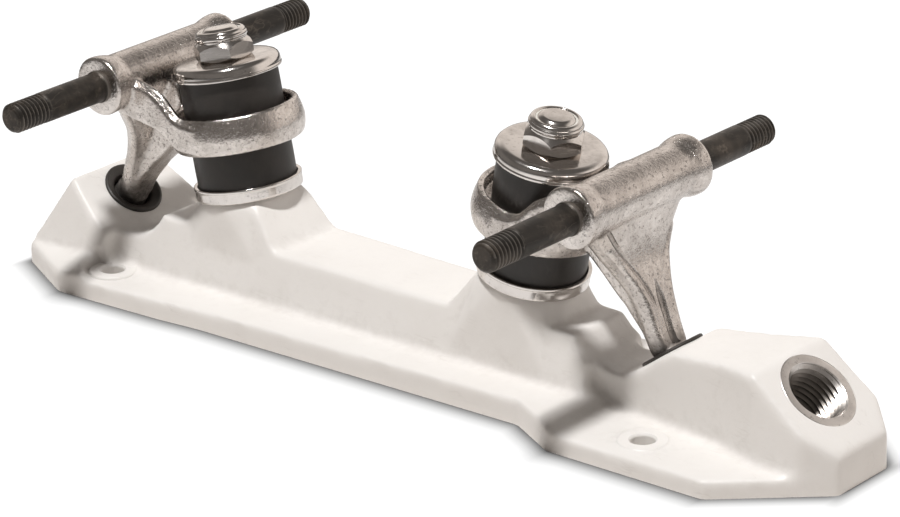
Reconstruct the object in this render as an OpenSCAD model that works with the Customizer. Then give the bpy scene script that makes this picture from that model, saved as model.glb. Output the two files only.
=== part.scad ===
// Roller skate plate with two sprung trucks, shown sole face down and trucks up.
// X runs from heel to toe, Y across the plate, Z up from the sole face.

/* [Overall] */
// Distance between the two axles
wheelbase = 157; // [130:1:190]
// Front axle to the tip of the nose
toe_overhang = 69.5; // [62:0.5:85]
// Rear axle to the end of the heel
heel_overhang = 32.7; // [30:0.1:45]
// Axle centre above the sole face
axle_height = 57.3; // [50:0.1:69]

/* [Plate] */
// Width across the heel end
heel_w = 42; // [34:1:50]
// Width of the rear flange at its widest
rear_flange_w = 64; // [56:1:76]
// Width of the waist behind the mid body
waist_rear_w = 57; // [50:1:64]
// Width of the waist in front of the mid body
waist_front_w = 49; // [44:1:58]
// Width of the front flange
front_flange_w = 64; // [56:1:76]
// Width across the tip of the nose
nose_w = 20; // [16:1:28]
// Flange thickness beside the rear holes
rear_flange_t = 5; // [4:0.1:6.5]
// Flange thickness at the front of the waist
waist_t = 7; // [5.5:0.1:8]
// Flange thickness beside the front holes
front_flange_t = 4.8; // [4:0.1:6.5]
// Height of the shelf round the heel block
heel_shelf_h = 8; // [7:0.1:10]
// Height of the top of the heel block
heel_top_h = 25.6; // [23:0.1:30]
// Height of the flat top of the mid body
body_top_h = 19.2; // [16:0.1:22]
// Width of the body's flat top
body_top_w = 23.4; // [18:0.2:26]
// Width of the body's foot at the heel end
body_foot_rear_w = 31; // [28:0.5:40]
// Width of the body's foot at the toe end
body_foot_front_w = 26; // [25:0.5:36]
// Height of the shoulder between kingpin boss and trough
shoulder_h = 20.5; // [18:0.1:23]
// Height of the upright face at the tip of the nose
nose_lip_h = 9.8; // [8:0.1:12]
// Radius of the trough between boss and pivot block
trough_r = 12; // [9:0.5:14]
// Height of the trough's floor
trough_floor_h = 13; // [11:0.1:15]
// Wall left round the moulding's hollows
core_wall = 3.2; // [2.5:0.1:5]

/* [Mounting holes] */
// Front axle forward to the front mounting holes
front_hole_out = 21; // [16:0.5:26]
// Rear axle back to the rear mounting holes
rear_hole_out = 0; // [0:0.5:6]
// Spacing of the mounting holes across the plate
hole_spacing_y = 44; // [38:0.5:48]
// Diameter of a mounting hole
hole_d = 6; // [4:0.1:7]
// Diameter of the raised pad round a mounting hole
pad_d = 13; // [10:0.5:15]
// Height of the raised pad
pad_h = 0.7; // [0.3:0.1:1.5]

/* [Kingpin stack] */
// Lean of the kingpins, tops towards their axles
kingpin_tilt = 11; // [5:0.5:16]
// Axle back to the kingpin at the sole face
kingpin_setback = 36; // [33:0.1:44]
// Diameter of a kingpin
kingpin_d = 9.5; // [8:0.1:11.5]
// Boss seat along the kingpin above the sole face
seat_s = 28.8; // [26:0.1:31]
// Diameter of a cushion
cushion_d = 26.4; // [22:0.1:32]
// Length of a cushion
cushion_l = 15; // [12:0.1:18]
// Height of a cushion cup
cup_h = 3.7; // [3:0.1:5]
// Thickness of a cushion cup's sheet
cup_t = 1.1; // [0.8:0.1:1.6]
// Wall of a nut between its thread and a flat
hex_wall = 2.4; // [2:0.1:3.5]
// Height of the kingpin's head
head_h = 6; // [5:0.1:7.5]
// Height of the kingpin nut
nut_h = 7.8; // [6.5:0.1:11]
// Turn of the front nut's corners about its kingpin
front_nut_turn = 3; // [0:1:59]
// Turn of the rear nut's corners about its kingpin
rear_nut_turn = 26; // [0:1:59]

/* [Hanger] */
// Diameter of the axle tube's swollen ends
tube_d = 15.6; // [14:0.1:19]
// Diameter of the axle tube between its ends
tube_waist_d = 13.8; // [12:0.1:16.5]
// Length of each swollen end
tube_end_l = 4; // [2:0.5:8]
// Length of the axle tube
tube_l = 47; // [42:0.5:60]
// Gap between a cushion and the ring's wall
ring_gap = 2; // [1.5:0.1:3]
// Wall of the ring
ring_wall = 2.8; // [2:0.1:4]
// Height of the ring
ring_h = 9; // [7:0.1:11]
// Thickness of the seat inside the ring
seat_t = 4; // [3:0.1:6]
// Room round the kingpin in the ring's seat
swing_room = 2.05; // [1.6:0.05:3]
// Thickness of the arms between ring and tube
arm_t = 3.4; // [2.5:0.1:5]
// Diameter of the pivot ball
ball_d = 9.8; // [8:0.1:12]

/* [Axle] */
// Diameter of the axle where a wheel runs
axle_d = 8; // [6:0.1:10]
// Overall length of an axle
axle_l = 110; // [90:1:132]
// Step from the running diameter up to the pressed middle
press_step = 0.3; // [0.1:0.1:0.6]
// Pressed middle showing past each end of the tube
press_out = 0.6; // [0.2:0.1:2]
// Chamfer at the tips of the axle
axle_chamfer = 1; // [0.5:0.1:1.5]

/* [Pivot cup] */
// Axle out to the middle of the pivot cup's face
pivot_offset = 13.2; // [11:0.1:16]
// Middle of the pivot cup's face above the sole face
pivot_h = 18.8; // [17:0.1:21]
// Angle of the pivot cup's axis above the sole face
pivot_angle = 54; // [48:1:60]
// Wall of the pivot cup beside the ball
pivot_wall = 2.6; // [1.5:0.1:3]
// Floor of the pivot cup under the ball
pivot_floor = 2.4; // [1.5:0.1:3]
// Height of the pivot cup's rim above the plate
pivot_rim_h = 0.9; // [0.5:0.1:1.5]
// Depth of the ball's centre below the plate's ramp
ball_depth = 3.6; // [3:0.1:4.5]

/* [Toe stop] */
// Slope of the face that carries the toe stop
toe_slope = 37.7; // [30:0.1:45]
// Face left below the insert, along the slope
toe_lip = 6.3; // [4:0.1:9]
// Face left above the insert, along the slope
toe_wall = 0.8; // [0.5:0.1:3]
// Mean diameter of the insert's thread
insert_bore_d = 15; // [12:0.1:18]
// Wall of the threaded insert
insert_wall = 2.85; // [2:0.05:4]
// Length of the threaded insert
insert_l = 14; // [10:0.1:17]
// Plate left at each side of the insert
nose_wall = 6.15; // [4:0.05:9]

/* [Hidden] */
$fn = 64;
// Facets of the round ends that blended shapes are stretched between
blend_fn = 32;

// Clearances: close fits, loose fits round the kingpin, a cushion in its cup, the ball in its socket
close_fit = 0.02;
loose_fit = 0.15;
cushion_fit = 0.1;
cushion_hole_fit = 0.4;
ball_fit = 0.1;
head_room = 0.5;
cup_room = 1.2;
// Overshoots that let a cut pass right through a face, and through the sole on a slant
past = 1;
sole_past = 6;

// Diameters that follow from what each piece fits
cup_d = cushion_d + 2 * (cup_t + cushion_fit);
ring_bore_d = cushion_d + 2 * ring_gap;
ring_d = ring_bore_d + 2 * ring_wall;
seat_hole_d = kingpin_d + 2 * swing_room;
hex_w = kingpin_d + 2 * hex_wall;
hex_corner_d = hex_w / cos(30);
head_pocket_d = hex_corner_d + 2 * head_room;
axle_press_d = axle_d + 2 * press_step;
stem_slim = 0.8;
stem_d = ball_d - stem_slim;
pivot_body_d = ball_d + 2 * (ball_fit + pivot_wall);
pivot_rim_step = 0.6;
pivot_rim_d = pivot_body_d + 2 * pivot_rim_step;
pivot_rim_edge = 0.8;
pivot_mouth_d = pivot_rim_d - 2 * pivot_rim_edge;
pivot_cup_l = ball_depth + ball_d / 2 + ball_fit + pivot_floor;
insert_d = insert_bore_d + 2 * insert_wall;
pivot_side_wall = 1.7;
pivot_block_w = pivot_rim_d + 2 * pivot_side_wall;
nose_block_w = insert_d + 2 * nose_wall;

// Plan positions along X, with the middle of the overall length at zero
half_l = (heel_overhang + wheelbase + toe_overhang) / 2;
axle_mid_x = half_l - toe_overhang - wheelbase / 2;
half_base = wheelbase / 2;
// From here on X is measured from the middle of the wheelbase
nose_x = half_base + toe_overhang;
heel_x = -half_base - heel_overhang;
kingpin_x = half_base - kingpin_setback;
pivot_x = half_base + pivot_offset;
front_hole_x = half_base + front_hole_out;
rear_hole_x = -half_base - rear_hole_out;

// Stack positions along the kingpin from the sole face
pin_proud = 0.6;
cup_floor_s = seat_s + cup_t;
ring_seat_s = cup_floor_s + cushion_l;
ring_mid_s = ring_seat_s + seat_t / 2;
upper_s = ring_seat_s + seat_t;
top_cup_s = upper_s + cushion_l + cup_t;
nut_top_s = top_cup_s + nut_h;
pin_end_s = nut_top_s + pin_proud;
head_base_s = hex_corner_d / 2 * tan(kingpin_tilt) + 0.3;
head_top_s = head_base_s + head_h;

// Nut, with a collar over its hex that holds the locking ring under a rolled lip
collar_h = 2.7;
collar_d = hex_w - 0.4;
lock_ring_wall = 1.1;
lock_ring_d = kingpin_d + 2 * lock_ring_wall;
lock_ring_h = 1.8;
nut_lip_h = 0.4;
nut_lip_w = 0.8;

// Height of the boss's seat plane over the sole face at a given X
function seat_z(x) = (seat_s - (x - kingpin_x) * sin(kingpin_tilt)) / cos(kingpin_tilt);
// A point on the kingpin's own axes, out towards the axle and up along the pin
function on_pin(out, s) = [
    kingpin_x + out * cos(kingpin_tilt) + s * sin(kingpin_tilt),
    s * cos(kingpin_tilt) - out * sin(kingpin_tilt)
];

// Boss under each kingpin stack, from the foot of its slope to the shoulder
seat_x = kingpin_x + seat_s * sin(kingpin_tilt);
boss_slope_l = 7.8;
boss_top_x = seat_x - cup_d / 2 + 3.4;
boss_rise_x = boss_top_x - boss_slope_l;
boss_end_x = seat_x + cup_d / 2 - 1.7;
shoulder_x = boss_end_x + 2;
front_body_x = pivot_x - 18;
rear_body_x = pivot_x - 8;

// The ramp that carries the pivot cup, and the round trough at its foot
ramp_angle = 90 - pivot_angle;
function ramp_z(x) = pivot_h + (x - pivot_x) * tan(ramp_angle);
trough_z = trough_floor_h + trough_r;
trough_x = pivot_x - (trough_r / cos(ramp_angle) - trough_z + pivot_h) / tan(ramp_angle);
ramp_top_x = pivot_x + 6.5;
ramp_reach = 30;

// Nose block and its sloping toe stop face
toe_face = toe_lip + insert_d + toe_wall;
nose_ridge_x = nose_x - toe_face * cos(toe_slope);
nose_top_h = nose_lip_h + toe_face * sin(toe_slope);
toe_hole_up = toe_lip + insert_d / 2;
nose_corner_l = 8;
nose_flare_l = 14;
nose_draft = 1.5;
// Half width of the pivot block at a given X, spreading towards the nose
pivot_spread = 0.085;
function pivot_half_w(x) = pivot_block_w / 2 + (x - pivot_x) * pivot_spread;

// Flange outline stations along X
heel_corner_x = heel_x + 22;
heel_step_x = -half_base - 4.7;
rear_taper_x = heel_x + 56;
waist_rear_x = heel_x + 70;
waist_front_x = pivot_x - 29;
flare_x = pivot_x - 14;
front_corner_x = nose_x - 24;
// Small slopes of the flange: fall of the heel shelf, run of the steps, taper of each end
shelf_fall = 0.6;
shelf_flat = 4;
heel_step_run = 3;
front_step_run = 5.5;
front_step_x = flare_x + 2.5;
rear_taper = 2;
front_taper = 1;

// Moulding's hollows under the mid body
core_count = 3;
core_end_x = boss_rise_x - 1;
core_pitch = (2 * core_end_x + core_wall) / core_count;
core_h = body_top_h - core_wall;

// Moves a truck part from the middle of the wheelbase to its own end
module at_end(front) {
    translate([axle_mid_x, 0, 0])
        rotate([0, 0, front ? 0 : 180])
            children();
}

// Stands children on the kingpin's axis at a height along it
module on_kingpin(s) {
    translate([kingpin_x, 0, 0])
        rotate([0, kingpin_tilt, 0])
            translate([0, 0, s])
                children();
}

// Stands children on the pivot cup's axis, zero at the ramp and up out of the cup
module on_pivot(s = 0) {
    translate([pivot_x, 0, pivot_h])
        rotate([0, -ramp_angle, 0])
            translate([0, 0, s])
                children();
}

// Stands children on the toe stop's axis, zero at the sloping face
module on_toe_hole(s = 0) {
    translate([nose_x, 0, nose_lip_h])
        rotate([0, toe_slope, 0])
            translate([-toe_hole_up, 0, s])
                children();
}

// Lays a round bar across the plate at a given X and Z
module cross_bar(x, z, r, width, facets = $fn) {
    translate([x, 0, z])
        rotate([90, 0, 0])
            cylinder(h = width, r = r, center = true, $fn = facets);
}

// Extrudes a side profile drawn as X and Z across a given width
module side_prism(points, width) {
    translate([0, width / 2, 0])
        rotate([90, 0, 0])
            linear_extrude(height = width)
                polygon(points);
}

// Extrudes a half outline, given as X and half width, with its mirror image
module plan_prism(half, height) {
    last = len(half) - 1;
    far = [for (i = [last : -1 : 0]) [half[i][0], -half[i][1]]];
    linear_extrude(height = height)
        polygon(concat(half, far));
}

// Thin upright slab centred on Y, used as one end of a blended block
module slab(x, width, height) {
    slab_t = 0.1;
    translate([x - slab_t / 2, -width / 2, 0])
        cube([slab_t, width, height]);
}

module flange() {
    intersection() {
        plan_prism([
            [heel_x, heel_w / 2],
            [heel_corner_x, rear_flange_w / 2],
            [rear_taper_x, rear_flange_w / 2 - rear_taper],
            [waist_rear_x, waist_rear_w / 2],
            [waist_front_x, waist_front_w / 2],
            [flare_x, front_flange_w / 2],
            [front_corner_x, front_flange_w / 2 - front_taper],
            [nose_x, nose_w / 2]
        ], heel_shelf_h + past);
        side_prism([
            [heel_x, 0],
            [heel_x, heel_shelf_h - shelf_fall],
            [heel_step_x - shelf_flat, heel_shelf_h],
            [heel_step_x, heel_shelf_h],
            [heel_step_x + heel_step_run, rear_flange_t],
            [front_step_x - front_step_run, waist_t],
            [front_step_x, front_flange_t],
            [nose_x, front_flange_t],
            [nose_x, 0]
        ], 2 * rear_flange_w);
    }
}

// Long body whose side walls lean in, wider at the heel than at the toe
module body_wedge() {
    top_h = seat_z(boss_top_x) + past;
    lean = (body_foot_front_w + body_foot_rear_w - 2 * body_top_w) / 4 / (body_top_h - waist_t);
    top_cut = 2 * lean * (top_h - waist_t);
    hull() {
        slab(-rear_body_x, body_foot_rear_w, waist_t);
        slab(-rear_body_x, body_foot_rear_w - top_cut, top_h);
        slab(front_body_x, body_foot_front_w, waist_t);
        slab(front_body_x, body_foot_front_w - top_cut, top_h);
    }
}

// Side profile of one half of the body, from the middle out to the trough
module body_half_profile(end_x) {
    brow_run = 1.5;
    brow_drop = 1.2;
    side_prism([
        [-past, 0],
        [-past, body_top_h],
        [boss_rise_x, body_top_h],
        [boss_top_x, seat_z(boss_top_x) - brow_drop],
        [boss_top_x + brow_run, seat_z(boss_top_x + brow_run)],
        [boss_end_x, seat_z(boss_end_x)],
        [shoulder_x, shoulder_h],
        [end_x, shoulder_h],
        [end_x, 0]
    ], 2 * body_foot_rear_w);
}

// Boss that spreads from the bottom cup's round seat down to the body's foot
module boss() {
    seat_inset = 1;
    seat_disc_h = 0.2;
    hull() {
        on_kingpin(seat_s - seat_disc_h)
            cylinder(h = seat_disc_h, d = cup_d - 2 * seat_inset);
        translate([boss_rise_x, -body_foot_front_w / 2, 0])
            cube([shoulder_x - boss_rise_x, body_foot_front_w, waist_t]);
    }
}

module pivot_block() {
    start_x = front_body_x - past;
    intersection() {
        side_prism([
            [start_x, 0],
            [start_x, trough_z],
            [ramp_top_x, ramp_z(ramp_top_x)],
            [nose_ridge_x, nose_top_h],
            [nose_ridge_x, 0]
        ], 2 * pivot_block_w);
        plan_prism([
            [start_x, pivot_half_w(start_x)],
            [nose_ridge_x, pivot_half_w(nose_ridge_x)]
        ], nose_top_h + past);
    }
}

module nose_block() {
    flare_start_x = nose_ridge_x - nose_flare_l;
    edge_inset = 0.5;
    intersection() {
        side_prism([
            [ramp_top_x, 0],
            [ramp_top_x, ramp_z(ramp_top_x)],
            [nose_ridge_x, nose_top_h],
            [nose_x, nose_lip_h],
            [nose_x, 0]
        ], nose_block_w);
        plan_prism([
            [flare_start_x, pivot_half_w(flare_start_x) - edge_inset],
            [nose_ridge_x + 3, nose_block_w / 2 - edge_inset],
            [nose_x - nose_corner_l, nose_block_w / 2],
            [nose_x, nose_w / 2]
        ], nose_top_h);
        // Side walls lean in by a small moulding draft
        rotate([90, 0, 90])
            linear_extrude(height = 2 * nose_x)
                polygon([
                    [-nose_block_w / 2, 0],
                    [nose_block_w / 2, 0],
                    [nose_block_w / 2 - nose_draft, nose_top_h],
                    [-nose_block_w / 2 + nose_draft, nose_top_h]
                ]);
    }
}

// Heel block whose facets rise from the shelf to a narrow top
module heel_block() {
    back_inset = 0.6;
    back_x = -pivot_x - 7.5;
    front_x = -trough_x - 5;
    top_back_w = 29;
    top_front_w = 24;
    hull() {
        slab(heel_x + back_inset, heel_w - 4, heel_shelf_h - shelf_fall);
        slab(heel_step_x, heel_w + 1, heel_shelf_h);
        slab(back_x, top_back_w, heel_top_h);
        slab(front_x, top_front_w, heel_top_h);
    }
}

// Space over one ramp and its trough
module ramp_cut() {
    width = 2 * rear_flange_w;
    far_x = pivot_x + ramp_reach;
    cross_bar(trough_x, trough_z, trough_r, width);
    side_prism([
        [trough_x + trough_r * sin(ramp_angle), trough_z - trough_r * cos(ramp_angle)],
        [far_x, ramp_z(far_x)],
        [trough_x, ramp_z(far_x)],
        [trough_x, trough_z]
    ], width);
}

module mounting_pads(front) {
    x = front ? front_hole_x : rear_hole_x;
    rear_slope = (waist_t - rear_flange_t) / (flare_x - heel_step_x);
    top = front ? front_flange_t : rear_flange_t + (x - heel_step_x) * rear_slope;
    for (side = [-1, 1])
        translate([x, side * hole_spacing_y / 2, 0])
            cylinder(h = top + pad_h, d = pad_d);
}

module mounting_holes(x) {
    for (side = [-1, 1])
        translate([x, side * hole_spacing_y / 2, -past])
            cylinder(h = heel_top_h, d = hole_d);
}

// Seats and bores that one truck takes out of the plate
module truck_seats() {
    on_kingpin(-sole_past)
        cylinder(h = seat_s + sole_past + past, d = kingpin_d + 2 * loose_fit);
    on_kingpin(-sole_past)
        cylinder(h = head_top_s + sole_past, d = head_pocket_d);
    on_kingpin(seat_s)
        cylinder(h = cup_h + sole_past, d = cup_d + 4);
    on_pivot(-pivot_cup_l - close_fit)
        cylinder(h = pivot_cup_l + sole_past, d = pivot_body_d + 2 * close_fit);
    on_pivot()
        cylinder(h = sole_past, d = pivot_rim_d + 2 * close_fit);
}

module core_hollows() {
    width = body_top_w - 2 * core_wall;
    for (i = [0 : core_count - 1])
        translate([-core_end_x + i * core_pitch, -width / 2, -past])
            cube([core_pitch - core_wall, width, core_h + past]);
}

// Seat of the threaded insert, with a narrower hole on through the sole
module toe_stop_seat() {
    shelf_w = 0.5;
    through = 2 * nose_top_h / cos(toe_slope);
    on_toe_hole(-insert_l - close_fit)
        cylinder(h = insert_l + sole_past, d = insert_d + 2 * close_fit);
    on_toe_hole(-through)
        cylinder(h = through, d = insert_bore_d + 2 * shelf_w);
}

module base_plate() {
    color("white")
        translate([axle_mid_x, 0, 0])
            difference() {
                union() {
                    flange();
                    mounting_pads(true);
                    mounting_pads(false);
                    difference() {
                        union() {
                            intersection() {
                                union() {
                                    body_wedge();
                                    boss();
                                    mirror([1, 0, 0])
                                        boss();
                                }
                                union() {
                                    body_half_profile(front_body_x);
                                    mirror([1, 0, 0])
                                        body_half_profile(rear_body_x);
                                }
                            }
                            pivot_block();
                            nose_block();
                            heel_block();
                        }
                        ramp_cut();
                        mirror([1, 0, 0])
                            ramp_cut();
                    }
                }
                truck_seats();
                mirror([1, 0, 0])
                    truck_seats();
                mounting_holes(front_hole_x);
                mounting_holes(rear_hole_x);
                core_hollows();
                toe_stop_seat();
            }
}

module toe_stop_insert() {
    lead_in = 0.9;
    color("lightgray")
        translate([axle_mid_x, 0, 0])
            on_toe_hole()
                rotate_extrude()
                    polygon([
                        [insert_bore_d / 2, -insert_l],
                        [insert_d / 2, -insert_l],
                        [insert_d / 2, 0],
                        [insert_bore_d / 2 + lead_in, 0],
                        [insert_bore_d / 2, -lead_in]
                    ]);
}

// Bolt from below: hex head in its pocket, shank through the whole stack
module kingpin(front) {
    tip = 0.8;
    color("silver")
        at_end(front) {
            on_kingpin(head_base_s)
                rotate([0, 0, 30])
                    cylinder(h = head_h, d = hex_corner_d, $fn = 6);
            on_kingpin(0)
                rotate_extrude()
                    polygon([
                        [0, head_top_s - past],
                        [kingpin_d / 2, head_top_s - past],
                        [kingpin_d / 2, pin_end_s - tip],
                        [kingpin_d / 2 - tip, pin_end_s],
                        [0, pin_end_s]
                    ]);
        }
}

module kingpin_nut(front) {
    lock_s = nut_h - nut_lip_h - lock_ring_h;
    color("gainsboro")
        at_end(front)
            on_kingpin(top_cup_s)
                difference() {
                    union() {
                        rotate([0, 0, front ? front_nut_turn : rear_nut_turn])
                            cylinder(h = nut_h - collar_h, d = hex_corner_d, $fn = 6);
                        cylinder(h = nut_h, d = collar_d);
                    }
                    translate([0, 0, -past])
                        cylinder(h = nut_h + 2 * past, d = kingpin_d + 2 * close_fit);
                    translate([0, 0, lock_s])
                        cylinder(h = lock_ring_h, d = lock_ring_d + 2 * close_fit);
                    translate([0, 0, lock_s + lock_ring_h - close_fit])
                        cylinder(h = nut_lip_h + past, d = lock_ring_d - 2 * nut_lip_w);
                }
}

module nut_locking_ring(front) {
    color("ivory")
        at_end(front)
            on_kingpin(nut_top_s - nut_lip_h - lock_ring_h)
                difference() {
                    cylinder(h = lock_ring_h, d = lock_ring_d);
                    translate([0, 0, -past])
                        cylinder(h = lock_ring_h + 2 * past, d = kingpin_d + 2 * close_fit);
                }
}

// Pressed cup with its closed floor at zero and its rim upwards
module cushion_cup() {
    bore_r = kingpin_d / 2 + loose_fit;
    heel = 1;
    rotate_extrude()
        polygon([
            [bore_r, 0],
            [cup_d / 2 - heel, 0],
            [cup_d / 2, heel],
            [cup_d / 2, cup_h],
            [cup_d / 2 - cup_t, cup_h],
            [cup_d / 2 - cup_t, cup_t],
            [bore_r, cup_t]
        ]);
}

module bottom_cup(front) {
    color("lightgray")
        at_end(front)
            on_kingpin(seat_s)
                cushion_cup();
}

module top_cup(front) {
    color("lightgray")
        at_end(front)
            on_kingpin(top_cup_s)
                rotate([180, 0, 0])
                    cushion_cup();
}

// Rubber bush with a hole for the kingpin and eased rims
module cushion() {
    hole_r = kingpin_d / 2 + cushion_hole_fit;
    ease = 0.6;
    rotate_extrude()
        polygon([
            [hole_r, 0],
            [cushion_d / 2 - ease, 0],
            [cushion_d / 2, ease],
            [cushion_d / 2, cushion_l - ease],
            [cushion_d / 2 - ease, cushion_l],
            [hole_r, cushion_l]
        ]);
}

module lower_cushion(front) {
    color("dimgray")
        at_end(front)
            on_kingpin(cup_floor_s)
                cushion();
}

module upper_cushion(front) {
    color("dimgray")
        at_end(front)
            on_kingpin(upper_s)
                cushion();
}

// Plastic socket pressed into the ramp, with a rim that rests on it
module pivot_cup(front) {
    socket_d = ball_d + 2 * ball_fit;
    color("black")
        at_end(front)
            difference() {
                union() {
                    on_pivot(-pivot_cup_l)
                        cylinder(h = pivot_cup_l + pivot_rim_h, d = pivot_body_d);
                    on_pivot()
                        cylinder(h = pivot_rim_h, d = pivot_rim_d);
                }
                on_pivot(-ball_depth)
                    sphere(d = socket_d);
                on_pivot(-ball_depth)
                    cylinder(h = ball_depth + pivot_rim_h, d1 = socket_d, d2 = pivot_mouth_d);
            }
}

// Tube about Z with a swollen end at each side
module axle_tube() {
    half = tube_l / 2;
    blend_l = tube_end_l;
    rotate_extrude()
        polygon([
            [0, -half],
            [tube_d / 2, -half],
            [tube_d / 2, -half + tube_end_l],
            [tube_waist_d / 2, -half + tube_end_l + blend_l],
            [tube_waist_d / 2, half - tube_end_l - blend_l],
            [tube_d / 2, half - tube_end_l],
            [tube_d / 2, half],
            [0, half]
        ]);
}

// Truck casting: axle tube, ring on arms, web and pivot stem
module hanger(front) {
    tube_r = tube_waist_d / 2;
    root_drop = 2;
    arm_y = ring_d / 2 - arm_t / 2;
    arm_out = 7;
    arm_inset = 0.6;
    knee_x = pivot_x - 9.5;
    knee_z = pivot_h + 12.5;
    neck_w = 20;
    neck_inset = 0.8;
    ring_low = ring_mid_s - ring_h / 2;
    ring_back = on_pin(ring_d / 2 - root_drop, ring_mid_s);
    color("silver")
        at_end(front)
            difference() {
                union() {
                    translate([half_base, 0, axle_height])
                        rotate([90, 0, 0])
                            axle_tube();
                    on_kingpin(ring_low)
                        cylinder(h = ring_h, d = ring_d);
                    // Arms sweep up from the ring's sides to the tube
                    for (side = [-1, 1])
                        hull() {
                            on_kingpin(ring_low + arm_inset)
                                translate([arm_out, side * arm_y, 0])
                                    cylinder(h = ring_h - 2 * arm_inset, d = arm_t, $fn = blend_fn);
                            translate([0, side * arm_y, axle_height - root_drop])
                                cross_bar(half_base - 1, 0, tube_r - 1.2, arm_t, blend_fn);
                        }
                    // Web tapers from the tube down to the knee of the stem
                    hull() {
                        cross_bar(half_base + 0.5, axle_height - root_drop, tube_r - 2, ring_d, blend_fn);
                        cross_bar(knee_x, knee_z, stem_d / 2 - 0.4, stem_d, blend_fn);
                    }
                    // Neck ties the back of the ring to the web
                    hull() {
                        cross_bar(ring_back[0], ring_back[1], ring_h / 2 - neck_inset, neck_w, blend_fn);
                        cross_bar(knee_x - 1, knee_z + 6, stem_d / 2 - neck_inset, neck_w / 2, blend_fn);
                    }
                    // Stem from the knee down to the neck of the ball
                    hull() {
                        translate([knee_x, 0, knee_z])
                            sphere(d = stem_d, $fn = blend_fn);
                        on_pivot(3)
                            sphere(d = stem_d, $fn = blend_fn);
                    }
                    on_pivot(-ball_depth)
                        cylinder(h = ball_depth + 4, d = stem_d - 0.2);
                    on_pivot(-ball_depth)
                        sphere(d = ball_d);
                }
                cross_bar(half_base, axle_height, axle_press_d / 2 + close_fit, tube_l + 2 * past);
                on_kingpin(0)
                    cylinder(h = pin_end_s, d = seat_hole_d);
                on_kingpin(upper_s)
                    cylinder(h = pin_end_s - upper_s, d = ring_bore_d);
                on_kingpin(seat_s)
                    cylinder(h = ring_seat_s - seat_s, d = ring_bore_d);
                on_kingpin(top_cup_s - cup_h - 2 * cup_room)
                    cylinder(h = pin_end_s - upper_s, d = cup_d + 2 * cup_room);
            }
}

// Steel axle: pressed middle, plain ends for the wheels, chamfered tips
module axle(front) {
    half = axle_l / 2;
    press_half = tube_l / 2 + press_out;
    color("dimgray")
        at_end(front)
            translate([half_base, 0, axle_height])
                rotate([90, 0, 0])
                    rotate_extrude()
                        polygon([
                            [0, -half],
                            [axle_d / 2 - axle_chamfer, -half],
                            [axle_d / 2, -half + axle_chamfer],
                            [axle_d / 2, -press_half],
                            [axle_press_d / 2, -press_half],
                            [axle_press_d / 2, press_half],
                            [axle_d / 2, press_half],
                            [axle_d / 2, half - axle_chamfer],
                            [axle_d / 2 - axle_chamfer, half],
                            [0, half]
                        ]);
}

base_plate();
toe_stop_insert();
kingpin(true);  // front_kingpin
kingpin_nut(true);  // front_kingpin_nut
nut_locking_ring(true);  // front_nut_locking_ring
top_cup(true);  // front_top_cup
upper_cushion(true);  // front_upper_cushion
lower_cushion(true);  // front_lower_cushion
bottom_cup(true);  // front_bottom_cup
pivot_cup(true);  // front_pivot_cup
hanger(true);  // front_hanger
axle(true);  // front_axle
kingpin(false);  // rear_kingpin
kingpin_nut(false);  // rear_kingpin_nut
nut_locking_ring(false);  // rear_nut_locking_ring
top_cup(false);  // rear_top_cup
upper_cushion(false);  // rear_upper_cushion
lower_cushion(false);  // rear_lower_cushion
bottom_cup(false);  // rear_bottom_cup
pivot_cup(false);  // rear_pivot_cup
hanger(false);  // rear_hanger
axle(false);  // rear_axle
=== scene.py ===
import math

import bmesh
import bpy
from mathutils import Matrix, Vector


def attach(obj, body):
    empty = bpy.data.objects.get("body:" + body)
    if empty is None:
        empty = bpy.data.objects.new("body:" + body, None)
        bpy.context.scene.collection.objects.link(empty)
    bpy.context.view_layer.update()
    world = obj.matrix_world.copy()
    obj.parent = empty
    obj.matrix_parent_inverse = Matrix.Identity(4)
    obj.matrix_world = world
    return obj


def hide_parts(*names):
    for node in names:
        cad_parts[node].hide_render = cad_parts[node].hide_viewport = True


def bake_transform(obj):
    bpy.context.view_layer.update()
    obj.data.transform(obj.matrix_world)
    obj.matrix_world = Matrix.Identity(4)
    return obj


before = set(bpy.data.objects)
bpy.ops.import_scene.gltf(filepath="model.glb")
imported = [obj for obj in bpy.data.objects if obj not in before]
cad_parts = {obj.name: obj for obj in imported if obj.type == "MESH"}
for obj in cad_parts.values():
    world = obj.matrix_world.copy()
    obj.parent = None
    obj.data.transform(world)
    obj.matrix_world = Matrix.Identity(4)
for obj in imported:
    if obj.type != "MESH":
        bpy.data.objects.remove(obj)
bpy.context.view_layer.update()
scene = bpy.context.scene
print("frame loaded with", len(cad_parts), "nodes")

# Pieces are drawn in millimetres, measured from the middle of the wheelbase, then set into the frame
mm = 0.001
wheelbaseMid = -18.4
ends = ("front", "rear")
bothSides = (-1, 1)
truckBody = {"front": "front_truck", "rear": "rear_truck"}
bothEnds = (Matrix.Identity(4), Matrix.Rotation(math.pi, 4, "Z"))
upsideDown = Matrix.Rotation(math.pi, 4, "X")


def endFrame(end):
    turn = 0 if end == "front" else math.pi
    return Matrix.Scale(mm, 4) @ Matrix.Translation((wheelbaseMid, 0, 0)) @ Matrix.Rotation(turn, 4, "Z")


plateFrame = endFrame("front")

# heights along the kingpin: top of its head, seat of the bottom cup, and both faces of the hanger's seat
kingpinLine = {"foot": (42.5, 0, 0), "tilt": 11, "headTop": 7.9, "seat": 28.8, "ringLow": 44.9, "ringHigh": 48.9}
pivotLine = {"foot": (91.7, 0, 18.8), "tilt": -36}
toeLine = {"foot": (148.0, 0, 9.8), "tilt": 37.7, "up": 16.65}
axleLine = {"x": 78.5, "z": 57.3}


def leaning(line, shift=(0, 0, 0)):
    lean = Matrix.Rotation(math.radians(line["tilt"]), 4, "Y")
    return Matrix.Translation(line["foot"]) @ lean @ Matrix.Translation(shift)


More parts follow.
